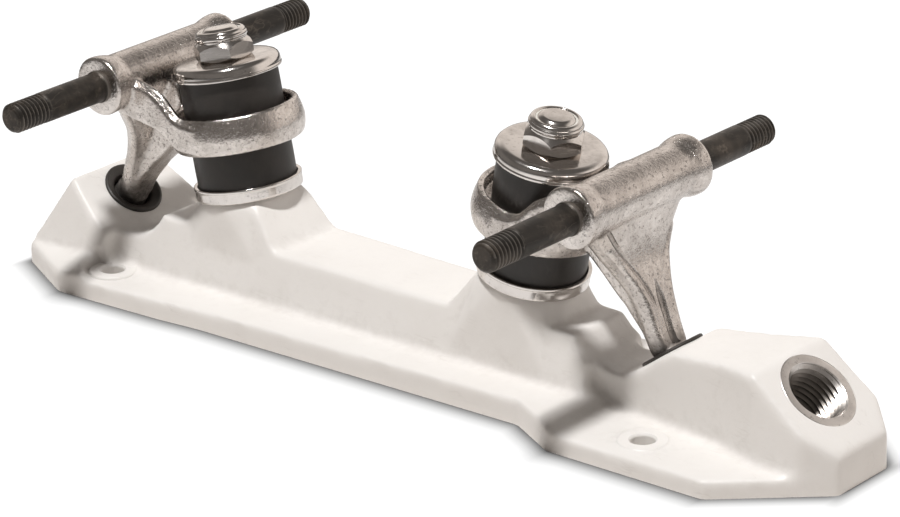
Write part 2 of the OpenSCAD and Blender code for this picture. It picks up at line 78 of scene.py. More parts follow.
def onKingpin(s=0):
    return leaning(kingpinLine, (0, 0, s))


onPivot = leaning(pivotLine)
onToeHole = leaning(toeLine, (-toeLine["up"], 0, 0))
onAxle = Matrix.Translation((axleLine["x"], 0, axleLine["z"])) @ Matrix.Rotation(math.pi / 2, 4, "X")


# Mesh helpers

def clamp(value, low=0, high=1):
    return max(low, min(high, value))


def softShade(obj, sharpAngle):
    mesh = obj.data
    mesh.polygons.foreach_set("use_smooth", [True] * len(mesh.polygons))
    mesh.set_sharp_from_angle(angle=math.radians(sharpAngle))


def linked(name, data):
    obj = bpy.data.objects.new(name, data)
    scene.collection.objects.link(obj)
    return obj


def newObject(name, bm):
    mesh = bpy.data.meshes.new(name)
    bm.to_mesh(mesh)
    bm.free()
    return linked(name, mesh)


def finishMesh(name, bm, sharpAngle=38):
    bmesh.ops.remove_doubles(bm, verts=bm.verts, dist=1e-7)
    bmesh.ops.recalc_face_normals(bm, faces=bm.faces)
    obj = newObject(name, bm)
    softShade(obj, sharpAngle)
    return obj


def placed(name, bm, end="front", sharpAngle=38):
    bmesh.ops.transform(bm, matrix=endFrame(end), verts=bm.verts)
    return finishMesh(name, bm, sharpAngle)


def bakeStep(obj, kind, **settings):
    # adds a modifier and applies it
    step = obj.modifiers.new(kind.lower(), kind)
    for key, value in settings.items():
        setattr(step, key, value)
    deps = bpy.context.evaluated_depsgraph_get()
    mesh = bpy.data.meshes.new_from_object(obj.evaluated_get(deps))
    old = obj.data
    obj.modifiers.clear()
    obj.data = mesh
    bpy.data.meshes.remove(old)
    return obj


def combine(obj, other, how="DIFFERENCE"):
    bakeStep(obj, "BOOLEAN", operation=how, solver="EXACT", object=other)
    bpy.data.objects.remove(other)
    return obj


def remesh(obj, voxel):
    return bakeStep(obj, "REMESH", mode="VOXEL", voxel_size=voxel * mm)


def relax(obj, turns, group=""):
    return bakeStep(obj, "SMOOTH", factor=0.5, iterations=turns, vertex_group=group)


def thin(obj, ratio):
    return bakeStep(obj, "DECIMATE", ratio=ratio)


def softProfile(corners, arcSteps=5):
    # corners are (radius, height, easing): each eased corner becomes a short arc
    points = []
    count = len(corners)
    for i, (r, z, ease) in enumerate(corners):
        here = Vector((r, z))
        if ease <= 0:
            points.append(here)
            continue
        back = (Vector(corners[i - 1][:2]) - here).normalized()
        ahead = (Vector(corners[(i + 1) % count][:2]) - here).normalized()
        start, stop = here + back * ease, here + ahead * ease
        for k in range(arcSteps + 1):
            t = k / arcSteps
            points.append(start * (1 - t) ** 2 + here * (2 * t * (1 - t)) + stop * t ** 2)
    return [(p.x, p.y) for p in points]


def mergeInto(bm, other):
    mesh = bpy.data.meshes.new("merged")
    other.to_mesh(mesh)
    other.free()
    bm.from_mesh(mesh)
    bpy.data.meshes.remove(mesh)


def spinInto(bm, profile, place, steps=96):
    turned = bmesh.new()
    verts = [turned.verts.new((r, 0, z)) for r, z in profile]
    edges = [turned.edges.new(pair) for pair in zip(verts, verts[1:] + verts[:1])]
    bmesh.ops.spin(turned, geom=verts + edges, cent=(0, 0, 0), axis=(0, 0, 1), angle=2 * math.pi,
                   steps=steps, use_merge=True)
    bmesh.ops.remove_doubles(turned, verts=turned.verts, dist=1e-5)
    loose = [e for e in turned.edges if not e.link_faces]
    bmesh.ops.delete(turned, geom=loose, context="EDGES")
    bmesh.ops.recalc_face_normals(turned, faces=turned.faces)
    bmesh.ops.transform(turned, matrix=place, verts=turned.verts)
    mergeInto(bm, turned)


def turnedPiece(name, profile, place, end="front", steps=96, sharpAngle=38):
    bm = bmesh.new()
    spinInto(bm, profile, place, steps)
    return placed(name, bm, end, sharpAngle)


def cutAway(bm, at, away, dist=1e-5):
    # drops what lies beyond a plane and gives the edges of the opening
    cut = bmesh.ops.bisect_plane(bm, geom=bm.verts[:] + bm.edges[:] + bm.faces[:], dist=dist,
                                 plane_co=at, plane_no=away, clear_outer=True)
    return [g for g in cut["geom_cut"] if isinstance(g, bmesh.types.BMEdge)]


def prismInto(bm, outline, low, high):
    # outline is drawn in X and Z and pulled across Y
    face = bm.faces.new([bm.verts.new((x, low, z)) for x, z in outline])
    pulled = bmesh.ops.extrude_face_region(bm, geom=[face], use_keep_orig=True)
    moved = [g for g in pulled["geom"] if isinstance(g, bmesh.types.BMVert)]
    bmesh.ops.translate(bm, vec=(0, high - low, 0), verts=moved)


def boxInto(bm, size, middle):
    box = bmesh.ops.create_cube(bm, size=1)["verts"]
    bmesh.ops.scale(bm, vec=size, verts=box)
    bmesh.ops.translate(bm, vec=middle, verts=box)
    return box


def barInto(bm, place, radius, low, high, segments=48):
    middle = place @ Matrix.Translation((0, 0, (low + high) / 2))
    bmesh.ops.create_cone(bm, cap_ends=True, segments=segments, radius1=radius, radius2=radius,
                          depth=high - low, matrix=middle)


def barPiece(name, *bar, end="front", sharpAngle=38):
    bm = bmesh.new()
    barInto(bm, *bar)
    return placed(name, bm, end, sharpAngle)


def smoothPath(stations, steps):
    # Catmull-Rom curve through rows of numbers
    rows = [stations[0]] + list(stations) + [stations[-1]]
    path = []
    for a, b, c, d in zip(rows, rows[1:], rows[2:], rows[3:]):
        for k in range(steps):
            t = k / steps
            path.append([0.5 * (2 * q + (r - p) * t + (2 * p - 5 * q + 4 * r - s) * t ** 2
                                + (3 * q - p - 3 * r + s) * t ** 3)
                         for p, q, r, s in zip(a, b, c, d)])
    path.append(list(stations[-1]))
    return path


def loftInto(bm, stations, squareness=1.0, around=12, steps=6):
    # stations are (x, y, z, half width, half thickness), laid along a path
    path = smoothPath(stations, steps)
    loops = []
    for i, (x, y, z, halfWidth, halfThick) in enumerate(path):
        a, b = path[max(i - 1, 0)], path[min(i + 1, len(path) - 1)]
        along = Vector((b[0] - a[0], b[1] - a[1], b[2] - a[2])).normalized()
        normal = Vector((0, 1, 0)).cross(along).normalized()
        across = along.cross(normal)
        place = Matrix((normal, across, along)).transposed().to_4x4()
        place.translation = (x, y, z)
        ring = bmesh.ops.create_circle(bm, segments=around, radius=1)["verts"]
        for v in ring:
            v.co.x = math.copysign(abs(v.co.x) ** squareness, v.co.x) * halfThick
            v.co.y = math.copysign(abs(v.co.y) ** squareness, v.co.y) * halfWidth
        bmesh.ops.transform(bm, matrix=place, verts=ring)
        loops.append(list({e for v in ring for e in v.link_edges}))
    for one, two in zip(loops, loops[1:]):
        bmesh.ops.bridge_loops(bm, edges=one + two)
    for end in (loops[0], loops[-1]):
        bmesh.ops.contextual_create(bm, geom=end)


def threadPiece(name, place, look, low, high, end, steps):
    # one flank chain spun with a rise of one pitch a turn, then cut square at both ends
    bm = bmesh.new()
    major, minor, pitch = look["majorR"], look["minorR"], look["pitch"]
    crest = (0.44, 0.56)
    turns = int((high - low) / pitch) + 4
    chain = []
    for k in range(turns):
        z = low - 2 * pitch + k * pitch
        chain += [(minor, z)] + [(major, z + pitch * share) for share in crest]
    chain.append((minor, low - 2 * pitch + turns * pitch))
    verts = [bm.verts.new((r, 0, z)) for r, z in chain]
    edges = [bm.edges.new(pair) for pair in zip(verts, verts[1:])]
    bmesh.ops.spin(bm, geom=verts + edges, cent=(0, 0, 0), axis=(0, 0, 1), angle=2 * math.pi,
                   steps=steps, dvec=(0, 0, pitch / steps))
    bmesh.ops.remove_doubles(bm, verts=bm.verts, dist=1e-4)
    for height, away in ((low, -1), (high, 1)):
        bmesh.ops.edgeloop_fill(bm, edges=cutAway(bm, (0, 0, height), (0, 0, away)))
    bmesh.ops.transform(bm, matrix=place, verts=bm.verts)
    return placed(name, bm, end)


def copyToRear(obj, name):
    # the rear truck is the front one turned about the middle of the wheelbase
    mesh = obj.data.copy()
    mesh.name = name
    mesh.transform(endFrame("rear") @ plateFrame.inverted())
    return linked(name, mesh)


def storeRelief(obj, turns, reach):
    # how far each point stands proud of (+) or below (-) its smoothed surroundings
    mesh = obj.data
    bm = bmesh.new()
    bm.from_mesh(mesh)
    bm.normal_update()
    before = [(v.co.copy(), v.normal.copy()) for v in bm.verts]
    for _ in range(turns):
        bmesh.ops.smooth_vert(bm, verts=bm.verts, factor=0.5, use_axis_x=True, use_axis_y=True, use_axis_z=True)
    relief = [clamp((co - v.co).dot(no) / (reach * mm), -1) for v, (co, no) in zip(bm.verts, before)]
    bm.free()
    layer = mesh.attributes.new("relief", "FLOAT", "POINT")
    layer.data.foreach_set("value", relief)


# Shader helpers

def feed(socket, value):
    if isinstance(value, bpy.types.NodeSocket):
        socket.id_data.links.new(value, socket)
    else:
        socket.default_value = value


def feedAll(sockets, values):
    for key, value in values.items():
        feed(sockets[key], value)


def addNode(tree, kind, inputs=None, **settings):
    node = tree.nodes.new(kind)
    for key, value in settings.items():
        setattr(node, key, value)
    feedAll(node.inputs, inputs or {})
    return node


# a socket's id_data is the tree that it belongs to
def maths(operation, *values):
    return addNode(values[0].id_data, "ShaderNodeMath", dict(enumerate(values)), operation=operation).outputs[0]


def scaled(value, factor):
    return maths("MULTIPLY", value, factor)


def summed(one, two):
    return maths("ADD", one, two)


def ranged(value, fromLow, fromHigh, low=0.0, high=1.0, kind="LINEAR"):
    limits = {"From Min": fromLow, "From Max": fromHigh, "To Min": low, "To Max": high}
    return addNode(value.id_data, "ShaderNodeMapRange", {"Value": value, **limits},
                   interpolation_type=kind).outputs["Result"]


def spread(mask, low, high):
    return ranged(mask, 0.0, 1.0, low, high)


def split(vector):
    return addNode(vector.id_data, "ShaderNodeSeparateXYZ", {0: vector}).outputs


def vectorMaths(operation, *values):
    return addNode(values[0].id_data, "ShaderNodeVectorMath", dict(enumerate(values)), operation=operation).outputs


def mixColour(factor, one, two):
    node = addNode(factor.id_data, "ShaderNodeMix", data_type="RGBA")
    for index, value in ((0, factor), (6, one), (7, two)):
        feed(node.inputs[index], (*value, 1) if isinstance(value, tuple) else value)
    return node.outputs[2]


# Shared shader groups

def newGroup(name, inputs, outputs):
    tree = bpy.data.node_groups.new(name, "ShaderNodeTree")
    for label, value in inputs.items():
        kind = "NodeSocketVector" if isinstance(value, tuple) else "NodeSocketFloat"
        tree.interface.new_socket(label, in_out="INPUT", socket_type=kind).default_value = value
    for label in outputs:
        tree.interface.new_socket(label, in_out="OUTPUT", socket_type="NodeSocketFloat")
    return tree, tree.nodes.new("NodeGroupInput").outputs, tree.nodes.new("NodeGroupOutput").inputs


def makeBlotches():
    tree, given, out = newGroup("blotches", {"Vector": (0, 0, 0), "Scale": 100.0, "From": 0.45, "To": 0.65}, ["Mask"])
    noise = addNode(tree, "ShaderNodeTexNoise", {"Vector": given["Vector"], "Scale": given["Scale"],
                                                 "Detail": 5.0, "Roughness": 0.62})
    mask = ranged(noise.outputs["Fac"], given["From"], given["To"], kind="SMOOTHSTEP")
    feed(out["Mask"], mask)
    return tree


def makeScratches():
    # thin lines where a stretched noise crosses its middle, in patches
    tree, given, out = newGroup(
        "scratches", {"Vector": (0, 0, 0), "Scale": 200.0, "Stretch": (1, 1, 0.08), "Share": 0.5}, ["Mask"])
    pulled = vectorMaths("MULTIPLY", given["Vector"], given["Stretch"])["Vector"]
    noise = addNode(tree, "ShaderNodeTexNoise", {"Vector": pulled, "Scale": given["Scale"],
                                                 "Detail": 3.0, "Distortion": 0.4})
    fromMiddle = maths("ABSOLUTE", maths("SUBTRACT", noise.outputs["Fac"], 0.5))
    line = ranged(fromMiddle, 0.0, 0.022, 1.0, 0.0)
    patch = addNode(tree, "ShaderNodeTexNoise", {"Vector": given["Vector"], "Scale": 90.0, "Detail": 2.0})
    where = ranged(patch.outputs["Fac"], given["Share"], 0.75)
    feed(out["Mask"], scaled(line, where))
    return tree


def makeRelief():
    tree, given, out = newGroup("reliefWearAndShade", {"Relief": 0.0, "Breakup": 0.5}, ["Edge", "Hollow"])
    brokenRelief = summed(given["Relief"], scaled(given["Breakup"], -0.3))
    feed(out["Edge"], ranged(brokenRelief, 0.1, 0.55))
    feed(out["Hollow"], ranged(brokenRelief, -0.2, -0.75))
    return tree


blotches = makeBlotches()
scratches = makeScratches()
reliefWearAndShade = makeRelief()


def patches(coords, scale, low, high):
    return addNode(coords.id_data, "ShaderNodeGroup", {"Vector": coords, "Scale": scale, "From": low, "To": high},
                   node_tree=blotches).outputs["Mask"]


def scratchLines(coords, scale, stretch, share):
    return addNode(coords.id_data, "ShaderNodeGroup", {"Vector": coords, "Scale": scale, "Stretch": stretch,
                                                       "Share": share}, node_tree=scratches).outputs["Mask"]


def reliefMask(breakup, kind):
    # worn edges, or hollows, from the relief stored on the mesh; the hollows darken the nylon and the casting as
    # painted shade
    tree = breakup.id_data
    relief = addNode(tree, "ShaderNodeAttribute", attribute_name="relief").outputs["Fac"]
    return addNode(tree, "ShaderNodeGroup", {"Relief": relief, "Breakup": breakup}, node_tree=reliefWearAndShade).outputs[kind]


def heightMask(coords, low, high):
    return ranged(split(coords)["Z"], low, high)


def boreShadeMask(coords, low, high):
    # rises down the toe stop hole, between two depths from its face
    face = plateFrame @ onToeHole
    along = face.to_3x3() @ Vector((0, 0, 1)) / mm
    start = along.dot(face.translation)
    return ranged(vectorMaths("DOT_PRODUCT", coords, along)["Value"], start - low * mm, start - high * mm)


# Finishes: each mask is a helper with what it is given, tints are (mask, amount, colour) laid over the base in turn,
# and roughness and height add up masks by their amounts

def startMaterial(name):
    material = bpy.data.materials.new(name)
    material.use_nodes = True
    tree = material.node_tree
    return material, tree.nodes["Principled BSDF"].inputs, addNode(tree, "ShaderNodeTexCoord").outputs["Object"]


def added(masks, rows):
    total = None
    for key, amount in rows:
        part = scaled(masks[key], amount)
        total = summed(total, part) if total else part
    return total


def makeFinish(name, look):
    material, shader, coords = startMaterial(name)
    masks = {"coords": coords}
    for key, (make, *values) in look["masks"].items():
        masks[key] = make(*(masks.get(v, v) for v in values))
    colour = look["base"]
    for key, amount, tint in look["tints"]:
        colour = mixColour(scaled(masks[key], amount), colour, tint)
    bump = addNode(coords.id_data, "ShaderNodeBump", {"Height": added(masks, look["height"]),
                                                      "Distance": look["depth"] * mm, "Strength": 1.0})
    feedAll(shader, {"Base Color": colour, "Roughness": added(masks, look["rough"]), "Normal": bump.outputs["Normal"]})
    feedAll(shader, look["shader"])
    return material


def plated(bright, dull, mark, specks, matte, depth):
    return {"masks": {"cloud": (patches, "coords", 160.0, 0.4, 0.7), "specks": (patches, "coords", 900.0, 0.6, 0.68),
                      "rubbed": (scratchLines, "coords", 500.0, (1, 0.2, 1), 0.46),
                      "matte": (spread, "cloud", *matte)},
            "base": bright, "tints": [("cloud", 1.0, dull), ("specks", specks, mark)],
            "rough": [("matte", 1.0), ("rubbed", 0.12)],
            "height": [("rubbed", -1.0), ("specks", -1.0)], "depth": depth, "shader": {"Metallic": 1.0}}


def moulded(deep, dusty, mark, matte, depth):
    return {"masks": {"cloud": (patches, "coords", 120.0, 0.35, 0.7), "grain": (patches, "coords", 1300.0, 0.35, 0.65),
                      "rubbed": (scratchLines, "coords", 380.0, (1, 1, 0.12), 0.55),
                      "matte": (spread, "cloud", *matte)},
            "base": deep, "tints": [("cloud", 1.0, dusty), ("rubbed", 0.3, mark)],
            "rough": [("matte", 1.0), ("rubbed", 0.1)], "height": [("grain", 1.0)], "depth": depth, "shader": {}}


# grey brown: grime in the rubbed lines, and painted shade in the hollows
grimeAndShade = (0.50, 0.46, 0.425)
whiteNylon = makeFinish("whiteNylon", {
    "masks": {"cloud": (patches, "coords", 45.0, 0.4, 0.72), "fine": (patches, "coords", 420.0, 0.3, 0.7),
              "wave": (patches, "coords", 60.0, 0.2, 0.8),
              "rubbed": (scratchLines, "coords", 260.0, (0.2, 1, 1), 0.56),
              "hollow": (reliefMask, "fine", "Hollow"), "matte": (spread, "cloud", 0.34, 0.44)},
    "base": (0.86, 0.838, 0.812),
    # painted shade: the hollows are darkened with the grey brown
    "tints": [("cloud", 0.5, (0.80, 0.772, 0.742)), ("rubbed", 0.25, grimeAndShade), ("hollow", 0.3, grimeAndShade)],
    "rough": [("matte", 1.0), ("rubbed", 0.15)],
    "height": [("fine", 1.0), ("wave", 9.0), ("rubbed", -1.5)], "depth": 0.012, "shader": {"Specular IOR Level": 0.4}})
# darkest tone: painted shade in the hollows, and the darkening at the stem's foot
dark, darkestTone = (0.34, 0.304, 0.278), (0.10, 0.088, 0.078)
castAluminium = makeFinish("castAluminium", {
    "masks": {"cloud": (patches, "coords", 120.0, 0.36, 0.66), "mottle": (patches, "coords", 760.0, 0.4, 0.6),
              "stain": (patches, "coords", 210.0, 0.56, 0.72), "specks": (patches, "coords", 1150.0, 0.57, 0.66),
              "grain": (patches, "coords", 1900.0, 0.3, 0.7),
              "rubbed": (scratchLines, "coords", 420.0, (1, 0.15, 1), 0.5),
              "edge": (reliefMask, "mottle", "Edge"), "hollow": (reliefMask, "mottle", "Hollow"),
              "stained": (scaled, "stain", "mottle"), "matte": (spread, "mottle", 0.24, 0.17),
              # darker towards the stem's foot, where it goes into its cup
              "foot": (heightMask, "coords", 0.0245, 0.0195), "broken": (spread, "mottle", 0.85, 0.7),
              "darkFoot": (scaled, "foot", "broken")},
    "base": (0.65, 0.604, 0.569),
    "tints": [("mottle", 0.55, (0.86, 0.813, 0.776)), ("cloud", 0.4, dark), ("stained", 0.7, dark),
              # painted shade: the hollows are darkened with the darkest tone
              ("specks", 0.55, (0.14, 0.125, 0.11)), ("hollow", 0.45, darkestTone), ("edge", 0.4, (0.80, 0.765, 0.735)),
              ("darkFoot", 1.0, darkestTone)],
    "rough": [("matte", 1.0), ("edge", -0.1), ("grain", 0.05), ("foot", 0.4)],
    "height": [("grain", 1.0), ("mottle", 1.5), ("specks", -1.6), ("rubbed", -0.8)], "depth": 0.018,
    "shader": {"Metallic": 1.0}})
oxide, scuff = (0.032, 0.028, 0.024), (0.22, 0.185, 0.15)
blackenedSteel = makeFinish("blackenedSteel", {
    "masks": {"cloud": (patches, "coords", 110.0, 0.4, 0.68), "rub": (patches, "coords", 420.0, 0.53, 0.68),
              "rubbed": (scratchLines, "coords", 330.0, (1, 0.3, 1), 0.45), "patch": (scaled, "rub", "cloud"),
              "edge": (reliefMask, "rub", "Edge"), "hollow": (reliefMask, "rub", "Hollow"),
              "marks": (summed, "rub", "rubbed"), "matte": (spread, "marks", 0.46, 0.34)},
    "base": oxide,
    "tints": [("cloud", 1.0, (0.074, 0.061, 0.05)), ("patch", 0.45, scuff), ("rubbed", 0.5, scuff),
              ("edge", 0.7, (0.20, 0.18, 0.16)), ("hollow", 0.8, oxide)],
    "rough": [("matte", 1.0)], "height": [("marks", 1.0)], "depth": 0.01, "shader": {"Metallic": 0.55}})
zincPlate = makeFinish("zincPlate", plated(
    bright=(0.74, 0.706, 0.677), dull=(0.58, 0.547, 0.52), mark=(0.25, 0.23, 0.21), specks=0.35,
    matte=(0.11, 0.2), depth=0.006))
threadedSteel = plated(
    bright=(0.80, 0.765, 0.735), dull=(0.64, 0.605, 0.575), mark=(0.2, 0.18, 0.17), specks=0.4,
    matte=(0.3, 0.4), depth=0.008)
# painted shade: the thread darkens down the bore
threadedSteel["masks"]["bore"] = (boreShadeMask, "coords", 0.4, 3.5)
threadedSteel["tints"].append(("bore", 0.8, (0.17, 0.148, 0.128)))
insertSteel = makeFinish("insertSteel", threadedSteel)
cushionRubber = makeFinish("cushionRubber", moulded(
    deep=(0.021, 0.0176, 0.0152), dusty=(0.032, 0.027, 0.0234), mark=(0.07, 0.062, 0.055),
    matte=(0.42, 0.55), depth=0.008))
cupNylon = makeFinish("cupNylon", moulded(
    deep=(0.024, 0.0205, 0.018), dusty=(0.042, 0.036, 0.031), mark=(0.08, 0.072, 0.065),
    matte=(0.44, 0.56), depth=0.006))
lockNylon = makeFinish("lockNylon", moulded(
    deep=(0.62, 0.60, 0.55), dusty=(0.72, 0.70, 0.66), mark=(0.45, 0.43, 0.4), matte=(0.4, 0.5), depth=0.004))
print("materials made")


def dress(obj, material):
    obj.data.materials.clear()
    obj.data.materials.append(material)


def handOver(obj, material, body, slotName, *nodes):
    dress(obj, material)
    if body:
        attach(obj, body)
    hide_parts(*nodes)


# Base plate: the CAD moulding, filled, softened all over with a spare skirt under it, trimmed and drilled again

plateLook = {"voxel": 0.62, "keep": 0.42, "skirt": 3.0, "fill": 0.5, "fillSnug": 0.3,
             # smoothing: turns, the heights it fades in over, and the station that it starts from
             "allOver": (18, (-2.6, -1.2), -200), "nose": (16, (-2.6, 4.0), 118), "fadeIn": 8,
             "headR": 8.75, "headEase": 0.4, "pinR": 4.9, "pinCut": (-14, 40),
             "cupR": 7.62, "cupDepth": 11.02, "rimR": 8.24, "rimSeat": 0.02, "rimCut": 6,
             "insertR": 10.37, "insertDepth": 14.02, "throughR": 8.0, "throughCut": -45, "toeFill": -40,
             "holeR": 3.0, "holeY": 22.0, "holeCut": -5, "holeMouth": 0.9,
             "padR": 6.5, "padH": 0.7, "padDraft": 0.25, "padEase": 0.45,
             "holes": {"front": (99.5, 4.8), "rear": (-78.5, 5.05)},
             "hollows": 3, "hollowGap": 19.8, "hollowWall": 3.2, "hollowH": 16.0, "hollowW": 17.0,
             "hollowEase": 2.0, "hollowCut": 5}
# the cone under each bottom cup: its two radii, its fall and the level that it stops at
coneLook = {"topR": 12.9, "footR": 24.0, "drop": 13, "over": 6, "shoulder": 20.4}
# the heel shelves, as corners (x, y, height) with a level top, and the faces cleared round the rear pads
shelfLook = {"top": 9.5, "plan": [(-113, 18.9, 5.7), (-80, 21.5, 9.0), (-80, 39.6, 4.6), (-113, 23.4, 4.6)]}
faceLook = {"r": 7.0, "flare": 1.6, "flareH": 3, "over": 5, "fromY": 20.3}


def hollowSpans():
    # moulding hollows in a row between the kingpin bosses
    look, count = plateLook, plateLook["hollows"]
    lean = kingpinLine["seat"] * math.sin(math.radians(kingpinLine["tilt"]))
    reach = kingpinLine["foot"][0] + lean - look["hollowGap"]
    pitch = (2 * reach + look["hollowWall"]) / count
    return [(-reach + i * pitch, -reach + (i + 1) * pitch - look["hollowWall"]) for i in range(count)]


def holeSpots():
    for x, top in plateLook["holes"].values():
        for side in bothSides:
            yield Matrix.Translation((x, side * plateLook["holeY"], 0)), top


def plateFilled():
    look, skirt, fill, snug = plateLook, plateLook["skirt"], plateLook["fill"], plateLook["fillSnug"]
    bm = bmesh.new()
    bm.from_mesh(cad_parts["base_plate"].data)
    bmesh.ops.remove_doubles(bm, verts=bm.verts, dist=1e-6)
    bmesh.ops.transform(bm, matrix=plateFrame.inverted(), verts=bm.verts)
    for v in bm.verts:
        if v.co.z < 0.01:
            v.co.z = -skirt
    for turn in bothEnds:
        barInto(bm, turn @ onKingpin(), look["headR"] + fill, -skirt - 4, kingpinLine["headTop"] + 1)
        barInto(bm, turn @ onKingpin(), look["pinR"] + fill, 0, kingpinLine["seat"])
        barInto(bm, turn @ onPivot, look["cupR"] + snug, -look["cupDepth"] - 1, 0)
    barInto(bm, onToeHole, look["insertR"] + snug, look["toeFill"], 0)
    for spot, top in holeSpots():
        barInto(bm, spot, look["holeR"] + fill, -skirt - 1, top)
    for low, high in hollowSpans():
        size = (high - low + 1, look["hollowW"] + 1, look["hollowH"] + fill + skirt)
        boxInto(bm, size, ((low + high) / 2, 0, size[2] / 2 - skirt))
    bmesh.ops.transform(bm, matrix=plateFrame, verts=bm.verts)
    return newObject("basePlate", bm)


def plateCutters():
    look = plateLook
    bm = bmesh.new()
    headR, headTop, pinR, (pinLow, pinHigh) = look["headR"], kingpinLine["headTop"], look["pinR"], look["pinCut"]
    pin = softProfile([(0, pinLow, 0), (headR, pinLow, 0), (headR, headTop, look["headEase"]),
                       (pinR, headTop, 0), (pinR, pinHigh, 0), (0, pinHigh, 0)])
    cupR, depth, rimR, seat = look["cupR"], look["cupDepth"], look["rimR"], look["rimSeat"]
    cup = [(0, -depth), (cupR, -depth), (cupR, -seat), (rimR, -seat), (rimR, look["rimCut"]), (0, look["rimCut"])]
    for turn in bothEnds:
        spinInto(bm, pin, turn @ onKingpin(), 64)
        spinInto(bm, cup, turn @ onPivot, 64)
    through, low, insertR, step = look["throughR"], look["throughCut"], look["insertR"], -look["insertDepth"]
    spinInto(bm, [(0, low), (through, low), (through, step), (insertR, step), (insertR, 5), (0, 5)], onToeHole, 96)
    for spot, top in holeSpots():
        r, low, rim = look["holeR"], look["holeCut"], top + look["padH"]
        hole = softProfile([(0, low, 0), (r, low, 0), (r, rim - 0.5, 0.3), (r + look["holeMouth"], rim + 0.4, 0),
                            (0, rim + 0.4, 0)])
        spinInto(bm, hole, spot, 64)
    for low, high in hollowSpans():
        size = (high - low, look["hollowW"], look["hollowH"] + look["hollowCut"])
        box = boxInto(bm, size, ((low + high) / 2, 0, size[2] / 2 - look["hollowCut"]))
        edges = list({e for v in box for e in v.link_edges})
        bmesh.ops.bevel(bm, geom=edges, offset=look["hollowEase"], segments=4, profile=0.5,
                        affect="EDGES", material=-1)
    return placed("plateCutters", bm)


def bossCones():
    # clears the plate above the cone that spreads from each bottom cup
    look, seat = coneLook, kingpinLine["seat"]
    topR, footR, top = look["topR"], look["footR"], seat + look["over"]
    bm = bmesh.new()
    for turn in bothEnds:
        spinInto(bm, [(topR, top), (topR, seat - 0.1), (footR, seat - look["drop"]), (footR, top)], turn @ onKingpin())
    rim = cutAway(bm, (0, 0, look["shoulder"]), (0, 0, -1))
    bmesh.ops.triangle_fill(bm, edges=rim, use_beauty=True)
    return placed("bossCones", bm)


def heelShelves():
    # the shelf beside the heel block falls towards its outer edge
    bm = bmesh.new()
    for side in bothSides:
        slab = bmesh.new()
        for x, y, low in shelfLook["plan"]:
            for z in (low, shelfLook["top"]):
                slab.verts.new((x, side * y, z))
        bmesh.ops.convex_hull(slab, input=slab.verts)
        mergeInto(bm, slab)
    return placed("heelShelves", bm)


def padFaces():
    # spot faces let the rear pads stand clear of that shelf
    look, (x, low) = faceLook, plateLook["holes"]["rear"]
    r, wide, top = look["r"], look["r"] + look["flare"], low + look["over"]
    bm = bmesh.new()
    for side in bothSides:
        face = bmesh.new()
        spinInto(face, [(0, low), (r, low), (wide, low + look["flareH"]), (wide, top), (0, top)],
                 Matrix.Translation((x, side * plateLook["holeY"], 0)), 64)
        rim = cutAway(face, (0, side * look["fromY"], 0), (0, -side, 0))
        bmesh.ops.triangle_fill(face, edges=rim, use_beauty=True)
        mergeInto(bm, face)
    return placed("padFaces", bm)


def soften(obj, turns, heights, fromX):
    # fades in by height, so that the spare skirt takes no part, and along the plate from one station on
    low, high = heights
    group = obj.vertex_groups.new(name="soften")
    for v in obj.data.vertices:
        weight = clamp((v.co.z / mm - low) / (high - low))
        along = clamp((v.co.x / mm - wheelbaseMid - fromX) / plateLook["fadeIn"])
        group.add([v.index], weight * along, "REPLACE")
    relax(obj, turns, "soften")
    obj.vertex_groups.clear()


def platePads():
    look, r = plateLook, plateLook["padR"]
    bm = bmesh.new()
    for spot, top in holeSpots():
        rim = top + look["padH"]
        pad = softProfile([(0, 1, 0), (r, 1, 0), (r, top, 0), (r - look["padDraft"], rim, look["padEase"]),
                           (0, rim, 0)])
        spinInto(bm, pad, spot, 64)
    return placed("platePads", bm)


def trimSole(obj):
    bm = bmesh.new()
    bm.from_mesh(obj.data)
    bmesh.ops.edgeloop_fill(bm, edges=cutAway(bm, (0, 0, 0), (0, 0, -1), 1e-7))
    bmesh.ops.triangulate(bm, faces=[f for f in bm.faces if len(f.verts) > 4])
    bm.to_mesh(obj.data)
    bm.free()


def buildPlate():
    obj = remesh(plateFilled(), plateLook["voxel"])
    combine(obj, bossCones())
    combine(obj, combine(heelShelves(), padFaces(), "UNION"))
    remesh(obj, plateLook["voxel"])
    soften(obj, *plateLook["allOver"])
    soften(obj, *plateLook["nose"])
    thin(obj, plateLook["keep"])
    trimSole(obj)
    combine(obj, platePads(), "UNION")
    combine(obj, plateCutters())
    softShade(obj, 40)
    storeRelief(obj, 12, 0.35)
    print("base plate", len(obj.data.polygons), "faces")
    handOver(obj, whiteNylon, "plate", "white_nylon", "base_plate")


buildPlate()


# Toe stop insert: a steel bush with a real thread inside

insertLook = {"outerR": 10.35, "coreR": 6.0, "length": 14.0, "majorR": 7.95, "minorR": 7.05, "pitch": 1.65,
              "mouth": 0.9, "mouthOver": 0.15}


def buildInsert():
    look = insertLook
    outer, core, length, mouth = (look[key] for key in ("outerR", "coreR", "length", "mouth"))
    ring = softProfile([(core, -length, 0), (outer, -length, 0.3), (outer, 0, 0.35), (core, 0, 0)])
    obj = turnedPiece("toeStopInsert", ring, onToeHole, steps=128, sharpAngle=30)
    combine(obj, threadPiece("insertThread", onToeHole, look, -length - 1, 1, "front", 96))
    cone = look["majorR"] + look["mouthOver"]
    funnel = [(0, -mouth - 1), (cone - mouth - 1, -mouth - 1), (cone + 1, 1), (0, 1)]
    combine(obj, turnedPiece("insertMouth", funnel, onToeHole, steps=128))
    softShade(obj, 30)
    handOver(obj, insertSteel, "plate", "insert_steel", "toe_stop_insert")


buildInsert()
print("toe stop insert threaded")


# Kingpin stack: bolt, cups, cushions and nut, from the sole up

